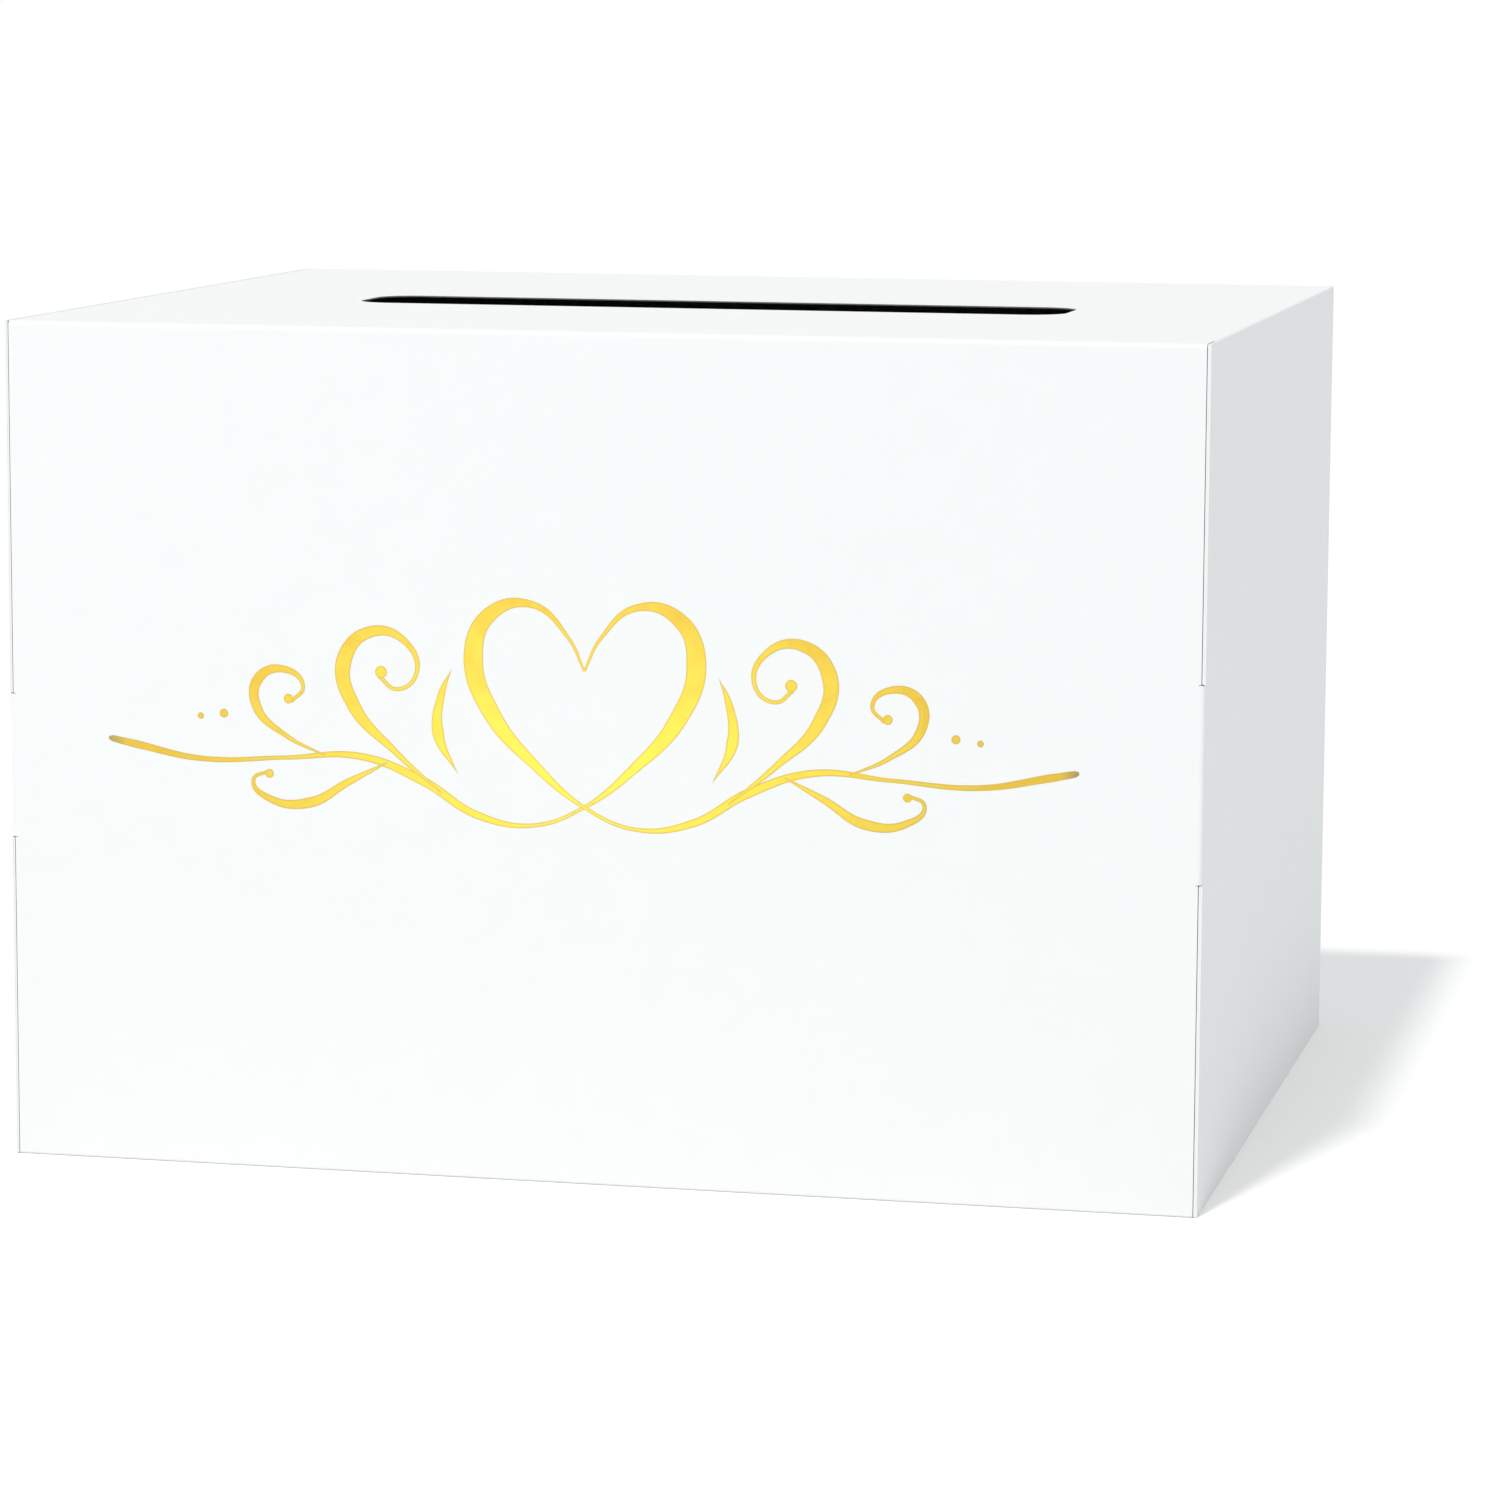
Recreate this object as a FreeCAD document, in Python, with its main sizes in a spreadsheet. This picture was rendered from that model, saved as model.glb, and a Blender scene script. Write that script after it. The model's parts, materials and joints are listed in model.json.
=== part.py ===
import FreeCAD, Part
import os
import re
import Sketcher

# Wedding card box folded from one sheet of board, in millimetres.
# Frame: origin under the middle of the box, X to the right, front towards -Y, Z up.
# Every panel is a flat plate that carries the fold on its own edge.

SIZES = {
    # The whole box
    "box_width": 300,
    "box_depth": 250,
    "box_height": 210,
    "board": 0.4,
    "fold_radius": 1.2,
    "base_fold_radius": 0.5,
    # Slits along the upright edges of the front, above and below the folded land
    "slit_width": 0.6,
    "slit_end": 0.15,
    "hook_reach": 0.4,
    "land_bottom": 81,
    "left_land": 36,
    "right_land": 48,
    # Slot for cards in the top
    "card_slot_length": 188,
    "card_slot_width": 34,
    "card_slot_corner": 10,
    "card_slot_forward": 11,
    "card_slot_right": 4,
    # Double side walls and their lock tabs
    "wall_slack": 0.15,
    "wall_clearance": 0.2,
    "tab_gap": 0.03,
    "tab_recess": 0.05,
    "tab_margin": 0.15,
    "tab_lead": 4,
    "step_length": 5,
    # Flaps held between the two layers of a side
    "dust_length": 70,
    "dust_setback": 1,
    "dust_taper": 14,
    "dust_fold_radius": 0.6,
    # Lid that closes the back
    "lid_clearance": 0.3,
    "lid_inset": 0.5,
    "hinge_gap": 0.3,
    "crease_gap": 0.1,
    # Tuck flap on the lower edge of the lid
    "tuck_length": 35,
    "tuck_clearance": 0.3,
    "tuck_side_clearance": 2,
    "tuck_corner": 12,
    "tuck_ease_degrees": 1.2,
    # Ears on the sides of the lid
    "ear_length": 40,
    "ear_slit": 0.3,
    "ear_clearance": 0.3,
    "ear_above_tuck": 8,
    "ear_below_top": 20,
    "ear_corner": 15,
}

# Places that several panels share, as expressions in the sizes.
# "in" is measured inwards from the outer face of the side wall.
FRONT = "(-box_depth / 2)"
BACK = "(box_depth / 2)"
PANEL_HALF_WIDTH = "(box_width / 2 - board - slit_width)"
FOLD_END = f"({FRONT} + fold_radius)"
BASE_FOLD_END = f"({FRONT} + base_fold_radius)"
PACK = "(3 * board + 2 * wall_slack)"
ROLL_START = f"({BACK} - board - lid_clearance - {PACK} / 2)"
TAB_IN = "(board + tab_gap)"
DUST_IN = "(board + wall_slack)"
WALL_FRONT = f"({FOLD_END} + wall_clearance)"
STEP_FRONT = f"({FOLD_END} + tab_lead)"
STEP_BACK = f"({STEP_FRONT} + step_length)"
DUST_FRONT = f"({STEP_BACK} + dust_setback)"
DUST_BACK = f"({ROLL_START} - dust_setback)"
INNER_HEIGHT = "(box_height - 2 * board - 2 * wall_clearance)"
TUCK_AXIS = "(2 * board + tuck_clearance)"
EAR_IN = f"({PACK} + ear_clearance + board)"
EAR_BOTTOM = f"({TUCK_AXIS} + tuck_length + ear_above_tuck)"
EAR_TOP = "(box_height - ear_below_top)"

doc = FreeCAD.newDocument("card_box")


def make_sheet():
    sheet = doc.addObject("Spreadsheet::Sheet", "Sizes")
    for row, (name, value) in enumerate(SIZES.items(), start=1):
        sheet.set(f"A{row}", name)
        sheet.set(f"B{row}", str(value))
        sheet.setAlias(f"B{row}", name)
    doc.recompute()


def bound(text):
    """The expression with every size name pointing at its cell."""
    return re.sub(r"[a-z_]+", lambda word: f"Sizes.{word[0]}" if word[0] in SIZES else word[0], text)


def bind(thing, path, text):
    thing.setExpression(path, bound(text))


def new_panel(label, x="0", y="0", z="0"):
    """An empty panel whose own origin is placed in the box."""
    body = doc.addObject("PartDesign::Body", label)
    body.Label = label
    for axis, text in (("x", x), ("y", y), ("z", z)):
        bind(body, f"Placement.Base.{axis}", text)
    return body


def new_sketch(body, plane, offset):
    """A sketch on one of the panel's own planes, moved along the plane's normal."""
    sketch = body.newObject("Sketcher::SketchObject", "Outline")
    support = next(item for item in body.Origin.OriginFeatures if item.Role == plane)
    sketch.AttachmentSupport = [(support, "")]
    sketch.MapMode = "FlatFace"
    bind(sketch, "AttachmentOffset.Base.z", offset)
    return sketch


def constrain(sketch, kind, path, text, *where):
    """A dimension of the sketch that follows an expression."""
    value = sketch.evalExpression(bound(text))
    index = sketch.addConstraint(Sketcher.Constraint(kind, *where, value))
    sketch.renameConstraint(index, path)
    bind(sketch, f"Constraints.{path}", text)


def draw(sketch, corners, loop="edge"):
    """A closed loop of lines and quarter arcs.

    A corner is (u, v), or (u, v, centre_u, centre_v, radius) where a quarter arc leads to the next corner.
    """
    def place(u, v):
        return FreeCAD.Vector(sketch.evalExpression(bound(u)), sketch.evalExpression(bound(v)), 0)

    points = [place(*corner[:2]) for corner in corners]
    edges = []
    for corner, start, end in zip(corners, points, points[1:] + points[:1]):
        if len(corner) == 2:
            shape = Part.LineSegment(start, end)
        else:
            centre = place(*corner[2:4])
            outward = start + end - centre * 2
            outward.Length = start.distanceToPoint(centre)
            shape = Part.Arc(start, centre + outward, end)
        edge = sketch.addGeometry(shape)
        first = 1 if sketch.getPoint(edge, 1).distanceToPoint(start) < 1e-6 else 2
        edges.append((edge, first))
    for number, (edge, first) in enumerate(edges):
        corner = corners[number]
        before, before_first = edges[number - 1]
        sketch.addConstraint(Sketcher.Constraint("Coincident", before, 3 - before_first, edge, first))
        constrain(sketch, "DistanceX", f"{loop}_u{number}", corner[0], -1, 1, edge, first)
        constrain(sketch, "DistanceY", f"{loop}_v{number}", corner[1], -1, 1, edge, first)
        if len(corner) > 2:
            constrain(sketch, "Radius", f"{loop}_r{number}", corner[4], edge)


def pad(body, sketch, length, symmetric=False):
    feature = body.newObject("PartDesign::Pad", "Thickness")
    feature.Profile = sketch
    feature.SideType = "Symmetric" if symmetric else "One side"
    bind(feature, "Length", length)
    return feature


def add_plate(body, plane, outline, offset, thickness="board", hole=None):
    """A flat plate of the outline, from offset along the plane's normal."""
    sketch = new_sketch(body, plane, offset)
    draw(sketch, outline)
    if hole:
        draw(sketch, hole, "hole")
    pad(body, sketch, thickness)


def add_fold(body, plane, centre, u_sign, v_sign, radius, offset, length, symmetric=False):
    """A quarter-round fold one board thick, from the u side to the v side of its centre."""
    u, v = centre
    inner = f"({radius} - board)"
    outline = [
        (f"{u} + {u_sign} * {radius}", v, u, v, radius),
        (u, f"{v} + {v_sign} * {radius}"),
        (u, f"{v} + {v_sign} * {inner}", u, v, inner),
        (f"{u} + {u_sign} * {inner}", v),
    ]
    sketch = new_sketch(body, plane, offset)
    draw(sketch, outline)
    pad(body, sketch, length, symmetric)


def add_crease(body, plane, offset, length, u_sign, v_sign, symmetric=False):
    """A quarter round of solid board about the panel's own origin, where its hinge turns."""
    sketch = new_sketch(body, plane, offset)
    draw(sketch, [("0", "0"), (f"{u_sign} * board", "0", "0", "0", "board"), ("0", f"{v_sign} * board")])
    pad(body, sketch, length, symmetric)


def rectangle(left, bottom, right, top):
    return [(left, bottom), (right, bottom), (right, top), (left, top)]


def mirrored(corners):
    """The same run of corners on the left of the box, in reverse order."""
    return [(f"-({u})", v) for u, v in reversed(corners)]


def land_top(side):
    return f"(land_bottom + {side}_land)"


def front_panel():
    body = new_panel("front_panel", y=FRONT)
    land_edge = "(box_width / 2 - fold_radius)"
    hook_end = f"({land_edge} - hook_reach)"

    def upright_edge(side):
        top = land_top(side)
        return [
            (PANEL_HALF_WIDTH, "base_fold_radius"),
            (PANEL_HALF_WIDTH, "land_bottom - slit_end"),
            (hook_end, "land_bottom - slit_end"),
            (hook_end, "land_bottom"),
            (land_edge, "land_bottom"),
            (land_edge, top),
            (hook_end, top),
            (hook_end, f"{top} + slit_end"),
            (PANEL_HALF_WIDTH, f"{top} + slit_end"),
            (PANEL_HALF_WIDTH, "box_height - fold_radius"),
        ]

    outline = upright_edge("right") + mirrored(upright_edge("left"))
    add_plate(body, "XZ_Plane", outline, "-board")
    return body


def flap_notched_outline(front, back):
    """Plan of the top and bottom plates, set in where the dust flaps fold off."""
    fold_line = f"(box_width / 2 - {DUST_IN} - dust_fold_radius)"
    right = [
        (PANEL_HALF_WIDTH, front),
        (PANEL_HALF_WIDTH, DUST_FRONT),
        (fold_line, DUST_FRONT),
        (fold_line, DUST_BACK),
        (PANEL_HALF_WIDTH, DUST_BACK),
        (PANEL_HALF_WIDTH, back),
    ]
    return right + mirrored(right)


def card_slot_outline():
    """Long slot with rounded corners, drawn as one quarter arc at each corner."""
    reach = "(card_slot_length / 2)"
    half_width = "(card_slot_width / 2)"
    radius = "card_slot_corner"
    corners = []
    for right, back in ((1, -1), (1, 1), (-1, 1), (-1, -1)):
        centre_u = f"card_slot_right + {right} * ({reach} - {radius})"
        centre_v = f"-card_slot_forward + {back} * ({half_width} - {radius})"
        on_end = (f"card_slot_right + {right} * {reach}", centre_v)
        on_side = (centre_u, f"-card_slot_forward + {back} * {half_width}")
        first, last = (on_end, on_side) if right == back else (on_side, on_end)
        corners += [first + (centre_u, centre_v, radius), last]
    return corners


def top_panel():
    body = new_panel("top_panel", z="box_height")
    width = f"2 * {PANEL_HALF_WIDTH}"
    hinge = f"({BACK} - board / 2)"
    add_plate(body, "XY_Plane", flap_notched_outline(FOLD_END, hinge), "-board", hole=card_slot_outline())
    add_fold(body, "YZ_Plane", (FOLD_END, "-fold_radius"), -1, 1, "fold_radius", "0", width, True)
    sketch = new_sketch(body, "YZ_Plane", "0")
    draw(sketch, [
        (hinge, "0", hinge, "-board / 2", "board / 2"),
        (BACK, "-board / 2", hinge, "-board / 2", "board / 2"),
        (hinge, "-board"),
    ])
    pad(body, sketch, width, True)
    return body


def bottom_panel():
    body = new_panel("bottom_panel")
    add_plate(body, "XY_Plane", flap_notched_outline(BASE_FOLD_END, BACK), "0")
    width = f"2 * {PANEL_HALF_WIDTH}"
    fold_centre = (BASE_FOLD_END, "base_fold_radius")
    add_fold(body, "YZ_Plane", fold_centre, -1, -1, "base_fold_radius", "0", width, True)
    return body


def side_wall(side, inward):
    body = new_panel(f"{side}_side_wall", x=f"{-inward} * box_width / 2")
    top = land_top(side)
    outline = [
        (FRONT, "0"),
        (ROLL_START, "0"),
        (ROLL_START, "box_height"),
        (FRONT, "box_height"),
        (FRONT, f"{top} + slit_end"),
        (FOLD_END, f"{top} + slit_end"),
        (FOLD_END, "land_bottom - slit_end"),
        (FRONT, "land_bottom - slit_end"),
    ]
    add_plate(body, "YZ_Plane", outline, f"({inward} - 1) / 2 * board")
    fold_centre = (f"{inward} * fold_radius", FOLD_END)
    add_fold(body, "XY_Plane", fold_centre, -inward, -1, "fold_radius", "land_bottom", f"{side}_land")
    return body


def rolled_edge(side, inward):
    """Half-round turn from the outer wall to the inner wall along the back."""
    body = new_panel(f"{side}_rolled_edge", x=f"{-inward} * box_width / 2", y=ROLL_START)
    outer = f"({PACK} / 2)"
    inner = f"({PACK} / 2 - board)"
    centre_x = f"{inward} * {outer}"

    def at(radius, sign):
        return f"{centre_x} + {sign} * {radius}"

    outline = [
        (at(outer, 1), "0", centre_x, "0", outer),
        (centre_x, outer, centre_x, "0", outer),
        (at(outer, -1), "0"),
        (at(inner, -1), "0", centre_x, "0", inner),
        (centre_x, inner, centre_x, "0", inner),
        (at(inner, 1), "0"),
    ]
    add_plate(body, "XY_Plane", outline, "board + wall_clearance", INNER_HEIGHT)
    return body


def inner_wall(side, inward):
    """Inner layer of a side: it steps out to the slits at the front and ends in two lock tabs."""
    body = new_panel(f"{side}_inner_wall", x=f"{-inward} * box_width / 2")
    tab_outer = f"{inward} * {TAB_IN}"
    tab_inner = f"{inward} * ({TAB_IN} + board)"
    wall_outer = f"{inward} * ({PACK} - board)"
    wall_inner = f"{inward} * {PACK}"
    plan = [
        (tab_outer, WALL_FRONT),
        (tab_outer, STEP_FRONT),
        (wall_outer, STEP_BACK),
        (wall_outer, ROLL_START),
        (wall_inner, ROLL_START),
        (wall_inner, STEP_BACK),
        (tab_inner, STEP_FRONT),
        (tab_inner, WALL_FRONT),
    ]
    add_plate(body, "XY_Plane", plan, "board + wall_clearance", INNER_HEIGHT)
    tab_plan = rectangle(tab_outer, f"{FRONT} + tab_recess", tab_inner, STEP_FRONT)
    lower_start = "tab_margin"
    lower_end = "(land_bottom - slit_end - tab_margin)"
    upper_start = f"({land_top(side)} + slit_end + tab_margin)"
    upper_end = "(box_height - tab_margin)"
    for start, end in ((lower_start, lower_end), (upper_start, upper_end)):
        add_plate(body, "XY_Plane", tab_plan, start, f"{end} - {start}")
    return body


def dust_flap(level, side, inward, upward, level_z):
    """Flap folded off the top or bottom and held inside a double side wall."""
    body = new_panel(f"{level}_{side}_dust_flap", x=f"{-inward} * box_width / 2", z=level_z)
    fold_z = f"{upward} * dust_fold_radius"
    taper_z = f"{upward} * (dust_length - dust_taper)"
    end_z = f"{upward} * dust_length"
    outline = [
        (DUST_FRONT, fold_z),
        (DUST_BACK, fold_z),
        (DUST_BACK, taper_z),
        (f"{DUST_BACK} - dust_taper", end_z),
        (f"{DUST_FRONT} + dust_taper", end_z),
        (DUST_FRONT, taper_z),
    ]
    outer_x = f"{inward} * {DUST_IN}"
    add_plate(body, "YZ_Plane", outline, f"{outer_x} + ({inward} - 1) / 2 * board")
    fold_centre = (f"{outer_x} + {inward} * dust_fold_radius", fold_z)
    length = f"{DUST_BACK} - {DUST_FRONT}"
    add_fold(body, "XZ_Plane", fold_centre, -inward, -upward, "dust_fold_radius", f"-{DUST_BACK}", length)
    return body


def back_lid():
    """Panel that closes the back, notched where the ears fold off its sides."""
    body = new_panel("back_lid", y=BACK)
    edge = "(box_width / 2 - lid_inset)"
    ear_edge = f"(box_width / 2 - {EAR_IN} - crease_gap)"
    right = [
        (edge, f"{TUCK_AXIS} + crease_gap"),
        (edge, f"{EAR_BOTTOM} - ear_slit"),
        (ear_edge, f"{EAR_BOTTOM} - ear_slit"),
        (ear_edge, f"{EAR_TOP} + ear_slit"),
        (edge, f"{EAR_TOP} + ear_slit"),
        (edge, "box_height - board - hinge_gap"),
    ]
    add_plate(body, "XZ_Plane", right + mirrored(right), "0")
    return body


def tuck_flap():
    """Flap drawn flat and forwards from its crease, then tipped up so that it swings clear of the bottom."""
    body = new_panel("tuck_flap", y=f"{BACK} - board", z=TUCK_AXIS)
    body.Placement.Rotation = FreeCAD.Rotation(FreeCAD.Vector(-1, 0, 0), 1)
    bind(body, "Placement.Rotation.Angle", "tuck_ease_degrees * 1deg + asin(tuck_length / 2 / box_height)")
    half = f"(box_width / 2 - {PACK} - tuck_side_clearance)"
    shoulder = f"({half} - tuck_corner)"
    round_start = "(tuck_corner - tuck_length)"
    outline = [
        (half, "0"),
        (f"-{half}", "0"),
        (f"-{half}", round_start, f"-{shoulder}", round_start, "tuck_corner"),
        (f"-{shoulder}", "-tuck_length"),
        (shoulder, "-tuck_length", shoulder, round_start, "tuck_corner"),
        (half, round_start),
    ]
    add_plate(body, "XY_Plane", outline, "-board")
    add_crease(body, "YZ_Plane", "0", f"2 * {half}", 1, -1, True)
    return body


def lid_ear(side, inward):
    """Flap folded forwards off a side of the lid, just inside the inner wall."""
    body = new_panel(f"{side}_lid_ear", x=f"{-inward} * (box_width / 2 - {EAR_IN})", y=f"{BACK} - board")
    free_edge = "(-ear_length)"
    round_y = "(ear_corner - ear_length)"
    lower_round = f"({EAR_BOTTOM} + ear_corner)"
    upper_round = f"({EAR_TOP} - ear_corner)"
    outline = [
        ("0", EAR_BOTTOM),
        ("0", EAR_TOP),
        (round_y, EAR_TOP, round_y, upper_round, "ear_corner"),
        (free_edge, upper_round),
        (free_edge, lower_round, round_y, lower_round, "ear_corner"),
        (round_y, EAR_BOTTOM),
    ]
    add_plate(body, "YZ_Plane", outline, f"({-inward} - 1) / 2 * board")
    add_crease(body, "XY_Plane", EAR_BOTTOM, f"{EAR_TOP} - {EAR_BOTTOM}", -inward, 1)
    return body


def build_panels():
    panels = [front_panel(), top_panel(), bottom_panel()]
    for side, inward in (("left", 1), ("right", -1)):
        panels.append(side_wall(side, inward))
        panels.append(rolled_edge(side, inward))
        panels.append(inner_wall(side, inward))
        panels.append(dust_flap("top", side, inward, -1, "box_height"))
        panels.append(dust_flap("bottom", side, inward, 1, "0"))
        panels.append(lid_ear(side, inward))
    panels += [back_lid(), tuck_flap()]
    return panels


def check(panels):
    for item in doc.Objects:
        if "Invalid" in item.State or "Error" in item.State:
            raise RuntimeError(f"{item.Label} did not build: {item.State}")
    for panel in panels:
        shape = panel.Shape
        if shape.isNull() or not shape.isValid() or len(shape.Solids) != 1:
            raise RuntimeError(f"{panel.Label} is not one valid solid")


make_sheet()
panels = build_panels()
doc.recompute()
check(panels)
os.makedirs("parts", exist_ok=True)
for panel in panels:
    panel.Shape.exportStep(f"parts/{panel.Label}.step")
    box = panel.Shape.BoundBox
    print(f"{panel.Label}: {panel.Shape.Volume:.0f} mm3, "
          f"x {box.XMin:.2f} to {box.XMax:.2f}, y {box.YMin:.2f} to {box.YMax:.2f}, "
          f"z {box.ZMin:.2f} to {box.ZMax:.2f}")
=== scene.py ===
"""Looks of a folded white board card box: finishes, creases, foil flourish, light and camera."""

import json
import math

import bpy
from mathutils import Matrix, Vector


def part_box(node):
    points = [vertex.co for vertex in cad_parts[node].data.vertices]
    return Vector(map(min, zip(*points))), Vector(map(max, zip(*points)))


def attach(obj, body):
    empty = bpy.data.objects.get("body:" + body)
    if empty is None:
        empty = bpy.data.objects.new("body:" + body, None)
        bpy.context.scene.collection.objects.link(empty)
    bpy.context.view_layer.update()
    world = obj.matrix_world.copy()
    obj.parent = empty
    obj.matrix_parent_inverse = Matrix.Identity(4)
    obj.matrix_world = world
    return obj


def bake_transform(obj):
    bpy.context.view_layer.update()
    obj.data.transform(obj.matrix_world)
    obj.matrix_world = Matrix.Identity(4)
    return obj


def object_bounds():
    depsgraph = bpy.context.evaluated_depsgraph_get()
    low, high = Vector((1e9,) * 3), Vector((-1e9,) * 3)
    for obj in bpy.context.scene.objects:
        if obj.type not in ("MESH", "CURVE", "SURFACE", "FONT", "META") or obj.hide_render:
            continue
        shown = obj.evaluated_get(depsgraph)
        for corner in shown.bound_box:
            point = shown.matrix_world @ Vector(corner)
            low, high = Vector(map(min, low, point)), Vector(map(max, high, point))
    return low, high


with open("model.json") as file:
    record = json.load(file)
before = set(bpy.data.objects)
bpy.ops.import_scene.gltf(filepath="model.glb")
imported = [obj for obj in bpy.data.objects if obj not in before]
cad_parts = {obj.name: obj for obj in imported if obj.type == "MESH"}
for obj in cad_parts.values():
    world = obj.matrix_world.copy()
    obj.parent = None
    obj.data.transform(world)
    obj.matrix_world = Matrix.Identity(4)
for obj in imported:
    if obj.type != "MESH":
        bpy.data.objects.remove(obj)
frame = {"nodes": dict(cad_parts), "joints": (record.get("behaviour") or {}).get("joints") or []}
cad_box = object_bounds()
nodes = frame["nodes"]
joints = {joint["name"]: joint for joint in frame["joints"]}

# Units and directions of the shared frame, which is in metres
MM = 0.001
QUARTER_TURN = math.pi / 2
RIGHT = Vector((1, 0, 0))
LEFT = Vector((-1, 0, 0))
BACK = Vector((0, 1, 0))
FRONT = Vector((0, -1, 0))
UP = Vector((0, 0, 1))
DOWN = Vector((0, 0, -1))

# Camera: turned and raised from the front, with its lens in pixels of the square picture
PICTURE_PIXELS = 1488
FOCAL_PIXELS = 5381
SENSOR_WIDTH = 36
CAMERA_YAW = math.radians(12.755)
CAMERA_PITCH = math.radians(8.114)
CAMERA_ROLL = math.radians(0.281)
CAMERA_AIM = Vector((0.0096, 0, 0.0928))
CAMERA_DISTANCE = 1.4318

# Light: a white room, a high lamp that casts the shadow and a broad low lamp that fills the front
WHITE = (1, 1, 1, 1)
ROOM_LIGHT = 0.66
ROOM_TINT = (0.97, 1, 1.035, 1)
LAMP_STRENGTH = 1.04
LAMP_ANGLE = math.radians(4)
LAMP_TURN = math.radians(-13)
LAMP_HEIGHT = math.radians(60)
FILL_POWER = 4.2
FILL_SIZE = 1.2
FILL_DISTANCE = 1.8
FILL_TURN = math.radians(-21)
FILL_HEIGHT = math.radians(15)

# Floor: white paper where it is seen, and a little darker in the light that it throws on the box
FLOOR_SIZE = 12
FLOOR_GAP = 0.05 * MM
FLOOR_PAPER = (1, 0.985, 0.968, 1)
FLOOR_GLOW = 0.085
FLOOR_SHADE = (0.82, 0.82, 0.82, 1)
FLOOR_LIGHT = (0.84, 0.84, 0.84, 1)
GRAIN_SCALE = 30
GRAIN_DETAIL = 2
GRAIN_SPAN = (0, 1)

# All finishes: colours are linear, scales are features per metre, and a noise mostly lies in its span
NOISE_SPAN = (0.3, 0.7)
FACING_SPAN = (0.45, 0.55)
EDGE_BLUR = 0.02 * MM

# Coated white face of the board
WHITE_SHADE = (0.922, 0.931, 0.911, 1)
WHITE_LIGHT = (0.93, 0.939, 0.919, 1)
WHITE_ROUGHNESS = (0.4, 0.52)
BOARD_SHEEN = 0.25
MOTTLE_SCALE = 90
MOTTLE_DETAIL = 3
FIBRE_SCALE = 1600
FIBRE_DETAIL = 4
FIBRE_RELIEF = 0.12
FIBRE_HEIGHT = 0.02 * MM

# Grey back of the board, which has no coating; the same grey is also painted as shade in the card slot and
# on the lock tabs
GREY_DARK = (0.165, 0.162, 0.155, 1)
GREY_LIGHT = (0.235, 0.231, 0.222, 1)
GREY_ROUGHNESS = (0.8, 0.95)
FLECK_SCALE = 520
FLECK_DETAIL = 6
FLECK_SPAN = (0.32, 0.62)

# Where the grey shows: inside the top and bottom with their front folds; and painted shade, in the same
# grey, on the card slot's cut edge and on the lock tabs
FOLD_TILT = math.radians(30)
UNDER_TOP = DOWN * math.cos(FOLD_TILT) + BACK * math.sin(FOLD_TILT)
OVER_BOTTOM = UP * math.cos(FOLD_TILT) + BACK * math.sin(FOLD_TILT)
# The painted shade on the slot's cut edge starts this far below the top face
SLOT_SHADE_DEPTH = 0.1 * MM
SLOT_ZONE = 110 * MM
TAB_ZONE = 6 * MM

# Gold foil: a painted sheen, brightest at a spot below the middle of the flourish and deeper out to the tips
FOIL_HIGHLIGHT = (0.94, 0.76, 0.1, 1)
FOIL_DEEP = (0.66, 0.45, 0.06, 1)
FOIL_DULL = (0.42, 0.34, 0.14, 1)
FOIL_DARK = (0.24, 0.19, 0.07, 1)
FOIL_ROUGHNESS = (0.2, 0.34)
SHEEN_DROP = 12 * MM
SHEEN_SPREAD_X = 8
SHEEN_SPREAD_Z = 17
SHEEN_SPAN = (0.15, 0.85)
TIP_SPAN = (0.945, 0.98)
RIM_WIDTH = 0.5 * MM
RIM_STRENGTH = 0.8
WAVE_SCALE = 160
WAVE_DETAIL = 4
WAVE_SWAY = (-0.12, 0.12)
WAVE_RELIEF = 0.15
WAVE_HEIGHT = 0.05 * MM

# Crease skins
SKIN_LIFT = 0.012 * MM
SKIN_THICKNESS = 0.03 * MM
SKIN_FLANGE = 2.2 * MM
SKIN_STEPS = 8
HINGE_BEAD = 0.2 * MM
FLAP_CREASE = 0.4 * MM
SMOOTH_ANGLE = math.radians(30)
MERGE_DISTANCE = 0.001 * MM

# Foil flourish on the front panel, built from layers that rise a little where strokes cross
FLOURISH_CENTRE_X = -2 * MM
FLOURISH_CENTRE_Z = 112 * MM
FLOURISH_SIDES = (1, -1)
FOIL_THICKNESS = 0.03 * MM
FOIL_LAYER = 0.004 * MM
CURL_LAYER = 2
BALL_LAYER = 3
STROKE_STEPS = 20
BALL_SIDES = 28
OUTLINE_DISTANCE = "from_outline"

# Half of the flourish as pen strokes: (x, z, half width) in millimetres from its centre
HEART_AND_TAIL = (
    (0, 15.5, 0.3), (4, 23.5, 0.45), (13.5, 31.5, 0.9), (24, 28.5, 1.9), (28, 18, 2.5), (23.5, 4.5, 2.2),
    (12, -8.5, 1.2), (0, -18, 0.45), (-13, -23, 0.5), (-27, -21, 0.95), (-41, -13, 1.15), (-57, -7.5, 0.9),
    (-76, -8.5, 0.5), (-98, -9.5, 0.7), (-115, -6.5, 1), (-121, -5.3, 0.8), (-122, -5.1, 0.35),
)
LARGE_SCROLL = (
    (36, -16, 0.2), (48, -6, 0.8), (58.5, 5, 1.7), (61, 16, 2), (54, 23.5, 1.4), (45, 21, 0.8),
    (42.5, 13.5, 0.55), (47.5, 9.5, 0.5), (52, 12.5, 0.5),
)
SMALL_SCROLL = (
    (66, -7.6, 0.2), (76, -3, 0.6), (83.5, 4, 1.2), (83, 11, 1.35), (76.5, 13.5, 0.9), (71.5, 9.5, 0.5),
    (74.5, 5.5, 0.45),
)
LOWER_CURL = (
    (50, -8.8, 0.2), (60, -14, 0.9), (70, -19.5, 1.3), (80, -19, 0.9), (84.5, -14.5, 0.5), (80.5, -12, 0.4),
)
LEAF = ((32, -11, 0), (37, -1, 1.5), (36, 9, 0.9), (33.5, 15, 0))
CURLS = (LARGE_SCROLL, SMALL_SCROLL, LOWER_CURL, LEAF)

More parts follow.
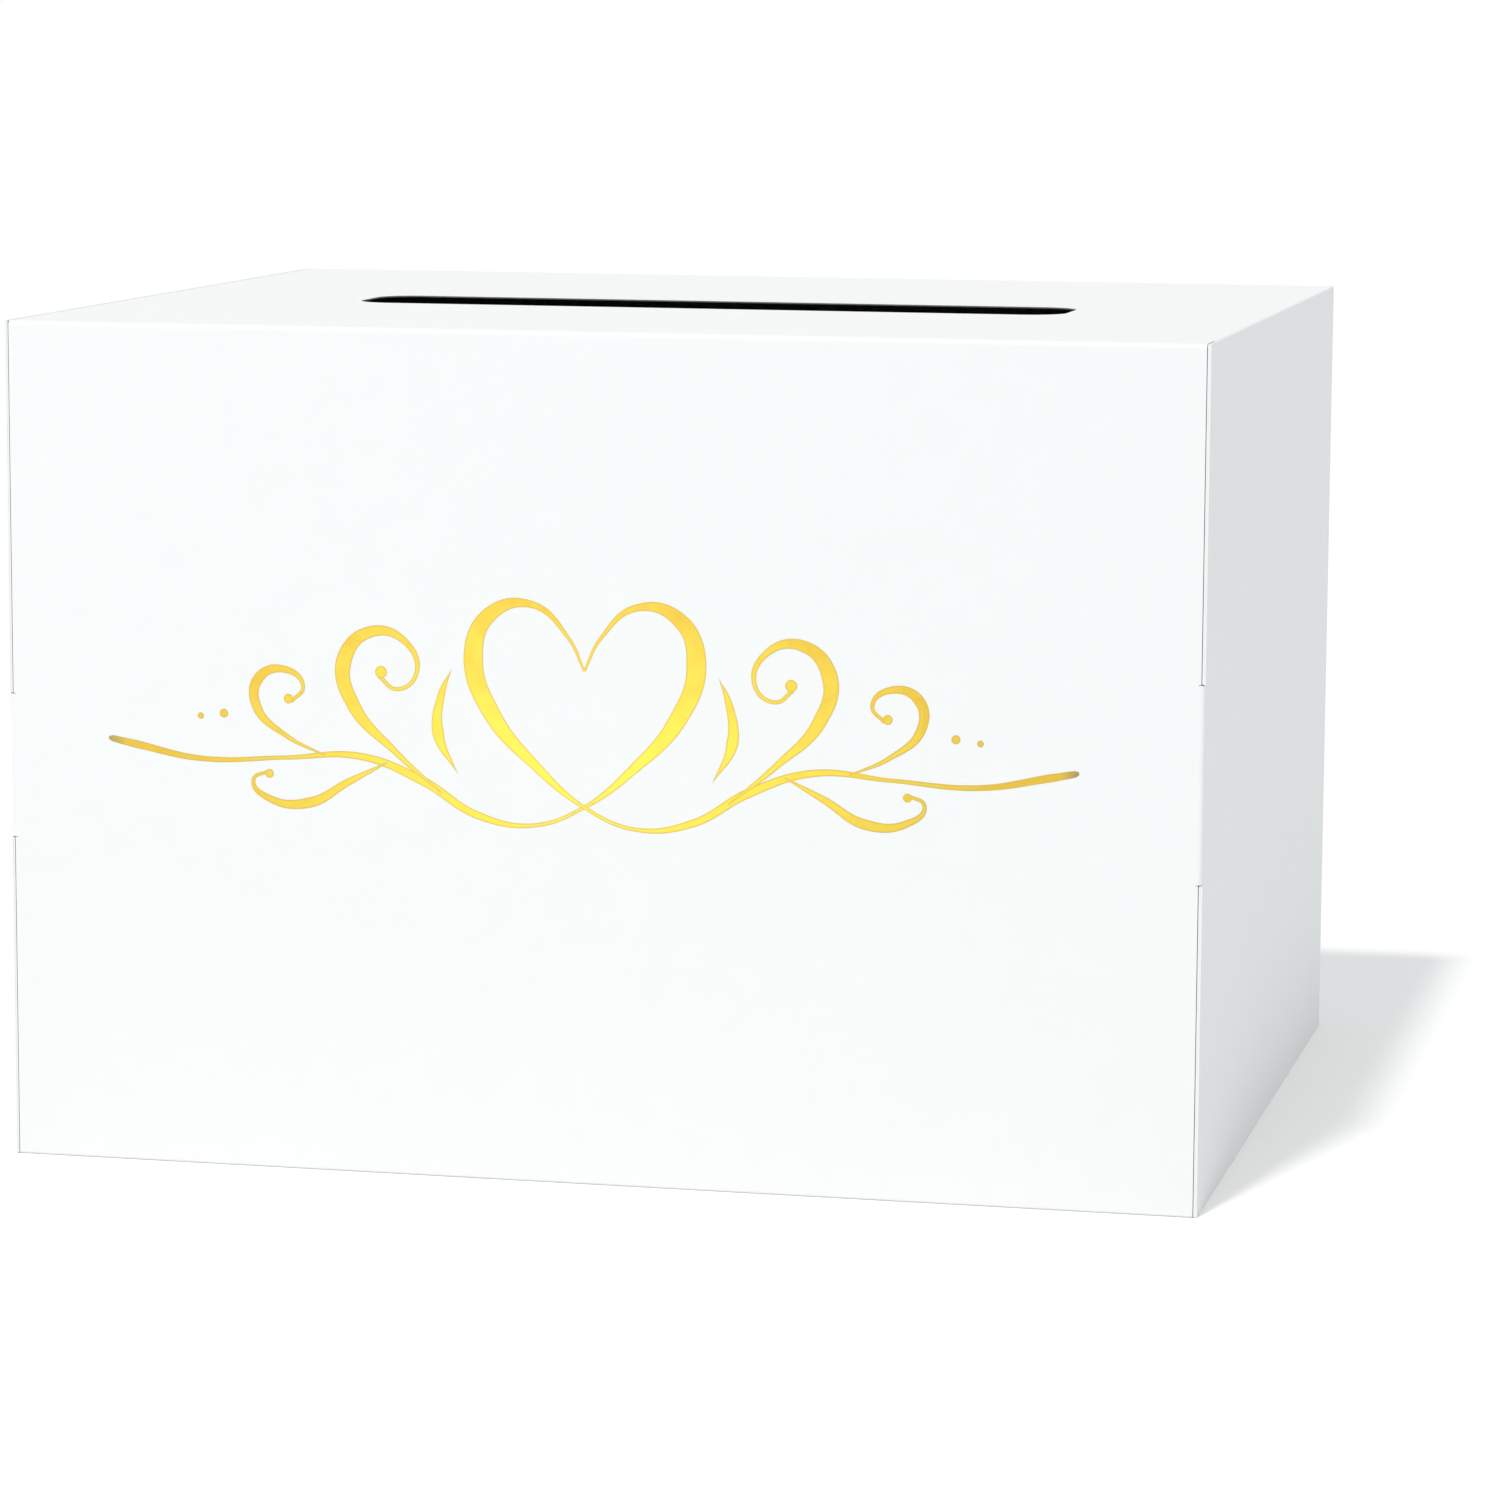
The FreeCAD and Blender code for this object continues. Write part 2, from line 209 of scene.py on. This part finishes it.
# Round ends of the curls and the dots after them: (x, z, radius) in millimetres
BALLS = (
    (51.5, 13.6, 1.5), (75.3, 6.2, 1.2), (80.3, -12.6, 1.1), (92, 2, 1.1), (98, 1.2, 0.8),
)

# Sockets of a mix node for each kind of value: the first value, the second value and the result
MIX_SOCKETS = {"RGBA": (6, 7, 2), "FLOAT": (2, 3, 0)}


# Shader nodes


def wire(tree, kind, sockets=None, **options):
    """Add a shader node, set its options, and fill or link its input sockets."""
    node = tree.nodes.new(kind)
    for option, value in options.items():
        setattr(node, option, value)
    for socket, value in (sockets or {}).items():
        if isinstance(value, bpy.types.NodeSocket):
            tree.links.new(value, node.inputs[socket])
        else:
            node.inputs[socket].default_value = value
    return node


def new_material(name):
    """Add a material, and give it with its node tree and its shader."""
    material = bpy.data.materials.new(name)
    material.use_nodes = True
    tree = material.node_tree
    return material, tree, tree.nodes["Principled BSDF"]


def noise(tree, place, scale, detail):
    """Noise between 0 and 1."""
    sockets = {"Vector": place, "Scale": scale, "Detail": detail}
    return wire(tree, "ShaderNodeTexNoise", sockets).outputs["Fac"]


def ramp(tree, factor, span, colours):
    """Pass from one colour to another while a factor crosses a span."""
    node = wire(tree, "ShaderNodeValToRGB", {"Fac": factor})
    for element, position, colour in zip(node.color_ramp.elements, span, colours):
        element.position = position
        element.color = colour
    return node.outputs["Color"]


def spread(tree, value, span, result):
    """Carry a value from one range to another, and hold it at the ends."""
    return wire(tree, "ShaderNodeMapRange", {
        "Value": value,
        "From Min": span[0], "From Max": span[1],
        "To Min": result[0], "To Max": result[1],
    }).outputs["Result"]


def mix(tree, kind, factor, first, second):
    """Pass from a first colour or number to a second as a factor goes from 0 to 1."""
    first_socket, second_socket, result = MIX_SOCKETS[kind]
    sockets = {0: factor, first_socket: first, second_socket: second}
    return wire(tree, "ShaderNodeMix", sockets, data_type=kind).outputs[result]


def combine(tree, operation, *factors):
    """Fold several factors into one with a maths operation."""
    result = factors[0]
    for factor in factors[1:]:
        result = wire(tree, "ShaderNodeMath", {0: result, 1: factor}, operation=operation).outputs["Value"]
    return result


def along(tree, vector, direction):
    """How far a vector reaches in a direction."""
    sockets = {0: vector, 1: direction}
    return wire(tree, "ShaderNodeVectorMath", sockets, operation="DOT_PRODUCT").outputs["Value"]


def facing(tree, coordinates, direction):
    """1 where the surface is turned towards a direction, 0 elsewhere."""
    return spread(tree, along(tree, coordinates["Normal"], direction), FACING_SPAN, (0, 1))


def beyond(tree, coordinates, direction, limit):
    """1 past a limit along a direction, 0 before it."""
    span = (limit - EDGE_BLUR, limit + EDGE_BLUR)
    return spread(tree, along(tree, coordinates["Object"], direction), span, (0, 1))


def seen_directly(tree):
    """1 where the ray comes from the camera, a shiny surface or glass, and 0 elsewhere."""
    path = wire(tree, "ShaderNodeLightPath").outputs
    rays = (path["Is Camera Ray"], path["Is Glossy Ray"], path["Is Transmission Ray"])
    return combine(tree, "MAXIMUM", *rays)


def set_finish(tree, shader, colour, roughness, relief, strength, height):
    """Feed a shader with its colour, its roughness and a bump of some height."""
    bump = wire(tree, "ShaderNodeBump", {"Height": relief, "Strength": strength, "Distance": height})
    tree.links.new(colour, shader.inputs["Base Color"])
    tree.links.new(roughness, shader.inputs["Roughness"])
    tree.links.new(bump.outputs["Normal"], shader.inputs["Normal"])


# Finishes


def board(name, grey_back_and_shade=None):
    """Coated white board with a faint mottle and fibre.

    The mask function given is 1 where the board shows the grey of its back, and where that grey is painted
    as shade, and 0 where it is coated white.
    """
    material, tree, shader = new_material(name)
    coordinates = wire(tree, "ShaderNodeTexCoord").outputs
    place = coordinates["Object"]
    mottle = noise(tree, place, MOTTLE_SCALE, MOTTLE_DETAIL)
    fibre = noise(tree, place, FIBRE_SCALE, FIBRE_DETAIL)
    colour = ramp(tree, mottle, NOISE_SPAN, (WHITE_SHADE, WHITE_LIGHT))
    roughness = spread(tree, fibre, NOISE_SPAN, WHITE_ROUGHNESS)
    if grey_back_and_shade:
        # Grey back, and the same grey painted as shade, wherever the mask asks for it
        bare_and_shaded = grey_back_and_shade(tree, coordinates)
        fleck = noise(tree, place, FLECK_SCALE, FLECK_DETAIL)
        grey = ramp(tree, fleck, FLECK_SPAN, (GREY_DARK, GREY_LIGHT))
        matte = spread(tree, fleck, NOISE_SPAN, GREY_ROUGHNESS)
        colour = mix(tree, "RGBA", bare_and_shaded, colour, grey)
        roughness = mix(tree, "FLOAT", bare_and_shaded, roughness, matte)
    set_finish(tree, shader, colour, roughness, fibre, FIBRE_RELIEF, FIBRE_HEIGHT)
    shader.inputs["Specular IOR Level"].default_value = BOARD_SHEEN
    return material


def bare_back(direction):
    """Grey on the side of a sheet that looks in a direction."""
    return lambda tree, coordinates: facing(tree, coordinates, direction)


def bare_back_and_slot_shade(tree, coordinates):
    """Grey back under the top panel, and painted shade in the same grey on the cut edge of its card slot,
    from just under the top face down.
    """
    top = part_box("top_panel")[1].z
    # Painted shade: the slot's cut edge is grey, so that the slot reads dark
    slot_edge_shade = combine(
        tree, "MULTIPLY",
        beyond(tree, coordinates, DOWN, SLOT_SHADE_DEPTH - top),
        beyond(tree, coordinates, BACK, -SLOT_ZONE),
        beyond(tree, coordinates, FRONT, -SLOT_ZONE),
    )
    return combine(tree, "MAXIMUM", facing(tree, coordinates, UNDER_TOP), slot_edge_shade)


def shaded_lock_tabs(inward):
    """Painted shade: grey on the inner face of the lock tabs, which enter the front slits, so that the slits
    read dark.
    """
    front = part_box("front_panel")[0].y

    def grey(tree, coordinates):
        near_front = beyond(tree, coordinates, FRONT, -front - TAB_ZONE)
        return combine(tree, "MULTIPLY", facing(tree, coordinates, inward), near_front)

    return grey


def gold_foil():
    """Hot-stamped foil with a painted sheen: bright at a spot low in the middle, deeper outwards and dark at
    its tips; dull at its outline.
    """
    material, tree, shader = new_material("gold_foil")
    place = wire(tree, "ShaderNodeTexCoord").outputs["Object"]
    # Painted highlight: the foil's colour is brightest at this spot and darkens with distance from it
    painted_highlight_spot = Vector((FLOURISH_CENTRE_X, 0, FLOURISH_CENTRE_Z - SHEEN_DROP))
    sheen_scale = Vector((SHEEN_SPREAD_X, 0, SHEEN_SPREAD_Z))
    from_spot = wire(tree, "ShaderNodeMapping", {
        "Vector": place, "Location": -painted_highlight_spot * sheen_scale, "Scale": sheen_scale,
    }).outputs["Vector"]
    reach = wire(tree, "ShaderNodeVectorMath", {0: from_spot}, operation="LENGTH").outputs["Value"]
    waves = noise(tree, place, WAVE_SCALE, WAVE_DETAIL)
    painted_sheen = combine(tree, "ADD", reach, spread(tree, waves, NOISE_SPAN, WAVE_SWAY))
    from_outline = wire(tree, "ShaderNodeAttribute", attribute_name=OUTLINE_DISTANCE).outputs["Fac"]
    rim = spread(tree, from_outline, (0, RIM_WIDTH), (RIM_STRENGTH, 0))
    tip = spread(tree, reach, TIP_SPAN, (0, 1))
    colour = ramp(tree, painted_sheen, SHEEN_SPAN, (FOIL_HIGHLIGHT, FOIL_DEEP))
    colour = mix(tree, "RGBA", rim, colour, ramp(tree, waves, NOISE_SPAN, (FOIL_DULL, FOIL_DEEP)))
    colour = mix(tree, "RGBA", tip, colour, ramp(tree, waves, NOISE_SPAN, (FOIL_DARK, FOIL_DULL)))
    roughness = spread(tree, waves, NOISE_SPAN, FOIL_ROUGHNESS)
    set_finish(tree, shader, colour, roughness, waves, WAVE_RELIEF, WAVE_HEIGHT)
    shader.inputs["Metallic"].default_value = 1
    return material


def floor_finish():
    """White paper with a pale shadow where it is seen, and an off-white for the light that it throws."""
    material, tree, shader = new_material("studio_floor")
    place = wire(tree, "ShaderNodeTexCoord").outputs["Object"]
    grain = noise(tree, place, GRAIN_SCALE, GRAIN_DETAIL)
    colour = ramp(tree, grain, GRAIN_SPAN, (FLOOR_SHADE, FLOOR_LIGHT))
    tree.links.new(colour, shader.inputs["Base Color"])
    shader.inputs["Roughness"].default_value = 1
    shader.inputs["Specular IOR Level"].default_value = 0
    paper = wire(tree, "ShaderNodeBsdfDiffuse", {"Color": FLOOR_PAPER}).outputs["BSDF"]
    glow = wire(tree, "ShaderNodeEmission", {"Strength": FLOOR_GLOW}).outputs["Emission"]
    seen = wire(tree, "ShaderNodeAddShader", {0: paper, 1: glow}).outputs["Shader"]
    sockets = {0: seen_directly(tree), 1: shader.outputs["BSDF"], 2: seen}
    surface = wire(tree, "ShaderNodeMixShader", sockets).outputs["Shader"]
    tree.links.new(surface, tree.nodes["Material Output"].inputs["Surface"])
    return material


# Shaping by hand


def select_vertices(piece, wanted):
    """Select the vertices of a mesh in edit mode whose place passes the test."""
    bpy.ops.mesh.select_all(action="DESELECT")
    bpy.ops.object.mode_set(mode="OBJECT")
    for vertex in piece.data.vertices:
        vertex.select = wanted(vertex.co)
    bpy.ops.object.mode_set(mode="EDIT")


def merge_doubles():
    """Join the vertices of the mesh in edit mode that lie in the same place, and leave all selected."""
    bpy.ops.mesh.select_all(action="SELECT")
    bpy.ops.mesh.remove_doubles(threshold=MERGE_DISTANCE)


def face_outwards(piece, inside):
    """Turn every face of an open shell away from a point inside it."""
    bpy.ops.object.mode_set(mode="EDIT")
    bpy.ops.mesh.select_all(action="SELECT")
    bpy.ops.mesh.normals_make_consistent(inside=False)
    bpy.ops.object.mode_set(mode="OBJECT")
    outward = sum((face.center - inside).dot(face.normal) * face.area for face in piece.data.polygons)
    if outward < 0:
        bpy.ops.object.mode_set(mode="EDIT")
        bpy.ops.mesh.flip_normals()
        bpy.ops.object.mode_set(mode="OBJECT")


def thicken(piece, thickness):
    """Give an open sheet its thickness, on the side that its faces look to."""
    wall = piece.modifiers.new("wall", "SOLIDIFY")
    wall.thickness = thickness
    wall.offset = 1
    bpy.context.view_layer.objects.active = piece
    bpy.ops.object.modifier_apply(modifier=wall.name)


# Pieces


def crease_skin(name, axis_point, line, start_normal, sweep, radius, length):
    """Outer layer of the sheet across a crease: a flange, a round about the axis and a second flange."""
    travel = line.cross(start_normal)
    edge = axis_point + start_normal * (radius + SKIN_LIFT)
    bpy.ops.object.select_all(action="DESELECT")
    bpy.ops.mesh.primitive_plane_add(size=1)
    skin = bpy.context.object
    skin.name = name
    turn = Matrix((line, -travel, start_normal)).transposed()
    skin.matrix_world = Matrix.Translation(edge - travel * SKIN_FLANGE / 2) @ turn.to_4x4()
    skin.scale = (length, SKIN_FLANGE, 1)
    bpy.ops.object.transform_apply(location=True, rotation=True, scale=True)
    bpy.ops.object.mode_set(mode="EDIT")
    bpy.ops.mesh.select_mode(type="VERT")
    select_vertices(skin, lambda place: (place - edge).dot(travel) > -SKIN_FLANGE / 2)
    bpy.ops.mesh.spin(steps=SKIN_STEPS, angle=sweep, center=axis_point, axis=line)
    end_travel = Matrix.Rotation(sweep, 3, line) @ travel
    bpy.ops.mesh.extrude_region_move(TRANSFORM_OT_translate={"value": end_travel * SKIN_FLANGE})
    merge_doubles()
    bpy.ops.object.mode_set(mode="OBJECT")
    face_outwards(skin, axis_point)
    thicken(skin, SKIN_THICKNESS)
    bpy.ops.object.shade_smooth_by_angle(angle=SMOOTH_ANGLE)
    return skin


def foil_layer(flat, layer):
    """Note how far the inner points of a flat stroke lie from its outline, then give it its thickness."""
    upside_down = flat.data.polygons[0].normal.z < 0
    bpy.ops.object.mode_set(mode="EDIT")
    bpy.ops.mesh.select_all(action="SELECT")
    if upside_down:
        bpy.ops.mesh.flip_normals()
    bpy.ops.mesh.region_to_loop()
    bpy.ops.object.mode_set(mode="OBJECT")
    from_outline = flat.data.attributes.new(OUTLINE_DISTANCE, "FLOAT", "POINT")
    for edge in flat.data.edges:
        ends = [flat.data.vertices[index] for index in edge.vertices]
        inside = [vertex for vertex in ends if not vertex.select]
        if len(inside) == 1:
            from_outline.data[inside[0].index].value = (ends[0].co - ends[1].co).length
    thicken(flat, FOIL_THICKNESS + layer * FOIL_LAYER)
    return flat


def foil_stroke(points, side, layer):
    """One pen stroke of the flourish: a flat ribbon along a smooth line, lying on its back."""
    bpy.ops.object.select_all(action="DESELECT")
    bpy.ops.curve.primitive_bezier_curve_add()
    line = bpy.context.object.data
    line.dimensions = "3D"
    line.twist_mode = "Z_UP"
    line.resolution_u = STROKE_STEPS
    line.extrude = MM
    knots = line.splines[0].bezier_points
    knots.add(len(points) - len(knots))
    for knot, (x, z, half_width) in zip(knots, points):
        knot.co = (side * x * MM, z * MM, 0)
        knot.radius = half_width
        knot.tilt = QUARTER_TURN
        knot.handle_left_type = "AUTO"
        knot.handle_right_type = "AUTO"
    bpy.ops.object.convert(target="MESH")
    bpy.ops.object.mode_set(mode="EDIT")
    merge_doubles()
    bpy.ops.mesh.subdivide(number_cuts=1)
    bpy.ops.object.mode_set(mode="OBJECT")
    return foil_layer(bpy.context.object, layer)


def foil_ball(x, z, radius, side, layer):
    """A round end or dot of the flourish, lying on its back."""
    bpy.ops.object.select_all(action="DESELECT")
    bpy.ops.mesh.primitive_circle_add(
        vertices=BALL_SIDES, radius=radius * MM, fill_type="TRIFAN", location=(side * x * MM, z * MM, 0))
    return foil_layer(bpy.context.object, layer)


def gold_flourish():
    """Heart with crossing tails and scrolls, mirrored about its middle, stamped on the front panel."""
    flat = [foil_stroke(HEART_AND_TAIL, side, layer) for layer, side in enumerate(FLOURISH_SIDES)]
    for side in FLOURISH_SIDES:
        flat += [foil_stroke(points, side, CURL_LAYER) for points in CURLS]
        flat += [foil_ball(x, z, radius, side, BALL_LAYER) for x, z, radius in BALLS]
    bpy.ops.object.select_all(action="DESELECT")
    for piece in flat:
        piece.select_set(True)
    flourish = flat[0]
    bpy.context.view_layer.objects.active = flourish
    bpy.ops.object.join()
    flourish.name = "gold_flourish"
    bpy.ops.object.shade_flat()
    front_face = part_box("front_panel")[0].y
    flourish.location = (FLOURISH_CENTRE_X, front_face, FLOURISH_CENTRE_Z)
    flourish.rotation_euler = (QUARTER_TURN, 0, 0)
    bpy.ops.object.transform_apply(location=True, rotation=True, scale=True)
    return flourish


# The dressed box


def dress_nodes():
    """Give each panel its board, with the grey back on the side that faces into the box, and painted shade
    in the card slot and on the lock tabs.
    """
    plain = board("white_board")
    grey_back_and_shade = {
        "front_panel": bare_back(BACK),
        # Grey back under the top, and painted shade on the card slot's cut edge
        "top_panel": bare_back_and_slot_shade,
        "bottom_panel": bare_back(OVER_BOTTOM),
        # Painted shade on the inner faces of the lock tabs, in the front slits
        "left_inner_wall": shaded_lock_tabs(RIGHT),
        "right_inner_wall": shaded_lock_tabs(LEFT),
        "back_lid": bare_back(FRONT),
        "tuck_flap": bare_back(UP),
        "left_lid_ear": bare_back(RIGHT),
        "right_lid_ear": bare_back(LEFT),
    }
    for name, node in nodes.items():
        finish = board("board_" + name, grey_back_and_shade[name]) if name in grey_back_and_shade else plain
        node.material_slots[0].material = finish
    return plain


def add_flourish():
    """Stamp the foil on the front, where it moves with the case."""
    flourish = gold_flourish()
    flourish.data.materials.append(gold_foil())
    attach(flourish, "case")


def add_creases(finish):
    """Cover the open creases with skins of the sheet, as they lie at rest."""
    lid_low, lid_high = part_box("back_lid")
    tuck_low, tuck_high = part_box("tuck_flap")
    ear_low, ear_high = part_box("right_lid_ear")
    tuck_axis = Vector(joints["tuck_fold"]["pos_m"])
    tuck_sweep = QUARTER_TURN + math.atan2(tuck_high.z - tuck_axis.z, tuck_axis.y - tuck_low.y)
    lid_width = lid_high.x - lid_low.x
    tuck_width = tuck_high.x - tuck_low.x
    ear_height = ear_high.z - ear_low.z
    creases = (
        ("lid_crease", "lid_hinge", LEFT, UP, QUARTER_TURN, HINGE_BEAD, lid_width),
        ("tuck_crease", "tuck_fold", LEFT, BACK, tuck_sweep, FLAP_CREASE, tuck_width),
        ("left_ear_crease", "left_ear_fold", UP, BACK, QUARTER_TURN, FLAP_CREASE, ear_height),
        ("right_ear_crease", "right_ear_fold", DOWN, BACK, QUARTER_TURN, FLAP_CREASE, ear_height),
    )
    for name, joint_name, line, start_normal, sweep, radius, length in creases:
        joint = joints[joint_name]
        axis_point = Vector(joint["pos_m"])
        skin = crease_skin(name, axis_point, line, start_normal, sweep, radius, length)
        skin.data.materials.append(finish)
        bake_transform(skin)


# The room


def direction_to(turn, height):
    """Direction from the box towards a place round it, turned from the front and raised from level."""
    return Matrix.Rotation(turn, 3, "Z") @ Matrix.Rotation(-height, 3, "X") @ FRONT


def add_floor():
    """Floor just below the box."""
    bpy.ops.object.select_all(action="DESELECT")
    bpy.ops.mesh.primitive_plane_add(size=FLOOR_SIZE, location=(0, 0, -FLOOR_GAP))
    floor = bpy.context.object
    floor.name = "studio_floor"
    floor.data.materials.append(floor_finish())


def add_room_light():
    """Even light from all round, which reads as white where it is seen."""
    world = bpy.data.worlds.new("white_room")
    bpy.context.scene.world = world
    world.use_nodes = True
    tree = world.node_tree
    background = tree.nodes["Background"]
    seen = seen_directly(tree)
    tree.links.new(mix(tree, "RGBA", seen, ROOM_TINT, WHITE), background.inputs["Color"])
    tree.links.new(spread(tree, seen, (0, 1), (ROOM_LIGHT, 1)), background.inputs["Strength"])


def add_lamps():
    """High lamp that casts the shadow, and a broad low lamp that fills the front."""
    bpy.ops.object.light_add(type="SUN", rotation=(QUARTER_TURN - LAMP_HEIGHT, 0, LAMP_TURN))
    lamp = bpy.context.object.data
    lamp.energy = LAMP_STRENGTH
    lamp.angle = LAMP_ANGLE
    middle = (cad_box[0] + cad_box[1]) / 2
    fill_place = middle + direction_to(FILL_TURN, FILL_HEIGHT) * FILL_DISTANCE
    bpy.ops.object.light_add(
        type="AREA", location=fill_place, rotation=(QUARTER_TURN - FILL_HEIGHT, 0, FILL_TURN))
    bpy.context.object.visible_camera = False
    fill = bpy.context.object.data
    fill.energy = FILL_POWER
    fill.size = FILL_SIZE


def add_camera():
    """Camera that looks at the box from the front right, a little from above."""
    back = direction_to(CAMERA_YAW, CAMERA_PITCH)
    level = UP.cross(back).normalized()
    right = level * math.cos(CAMERA_ROLL) + back.cross(level) * math.sin(CAMERA_ROLL)
    turn = Matrix((right, back.cross(right), back)).transposed()
    bpy.ops.object.camera_add(location=CAMERA_AIM + back * CAMERA_DISTANCE, rotation=turn.to_euler())
    camera = bpy.context.object
    camera.data.sensor_width = SENSOR_WIDTH
    camera.data.lens = SENSOR_WIDTH * FOCAL_PIXELS / PICTURE_PIXELS
    bpy.context.scene.camera = camera


def main():
    """Dress the box and set it in its room."""
    white_board = dress_nodes()
    add_flourish()
    add_creases(white_board)
    add_floor()
    add_room_light()
    add_lamps()
    add_camera()
    bpy.context.scene.view_settings.view_transform = "Standard"


main()
